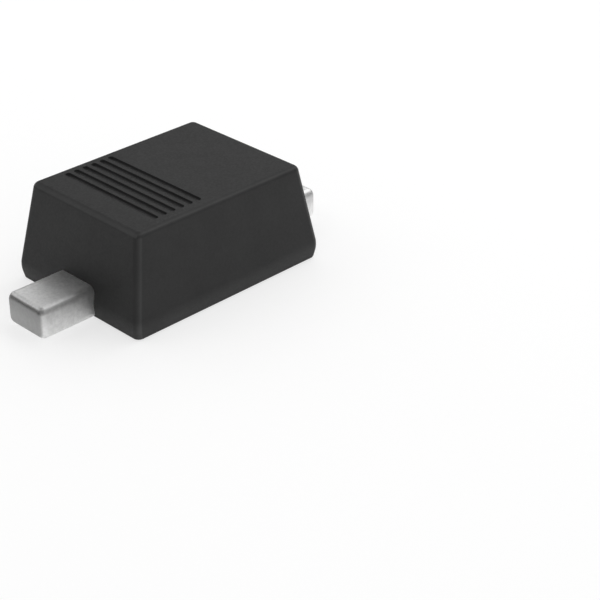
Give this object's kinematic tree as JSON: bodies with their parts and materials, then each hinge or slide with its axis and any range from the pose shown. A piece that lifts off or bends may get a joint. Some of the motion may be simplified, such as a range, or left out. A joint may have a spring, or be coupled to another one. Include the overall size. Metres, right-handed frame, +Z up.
{
  "type": "esd protection diode",
  "caption": "Flat-lead surface-mount protection diode: drafted dark epoxy body, grooved cathode band on top, a flat tinned solder foot at each end.",
  "frame": {"origin": "middle of the underside, level with the undersides of both solder feet", "axes": "+X along the leads, from the cathode end beside the grooved band to the anode end; +Y across the body; +Z up from the solder feet to the grooved top"},
  "size_m": [0.0026, 0.0012, 0.0007],
  "materials": {
    "epoxy_compound": "fine matt moulded epoxy, near black",
    "tinned_lead": "satin tin plating over copper alloy",
    "attach_solder": "dull solder film",
    "silicon": "polished silicon with sawn edges",
    "gold_wire": "bright drawn gold"
  },
  "bodies": {
    "root": {"moulded_body": "epoxy_compound", "cathode_lead": "tinned_lead", "anode_lead": "tinned_lead", "die_attach": "attach_solder", "silicon_die": "silicon", "bond_wire": "gold_wire"}
  },
  "joints": []
}
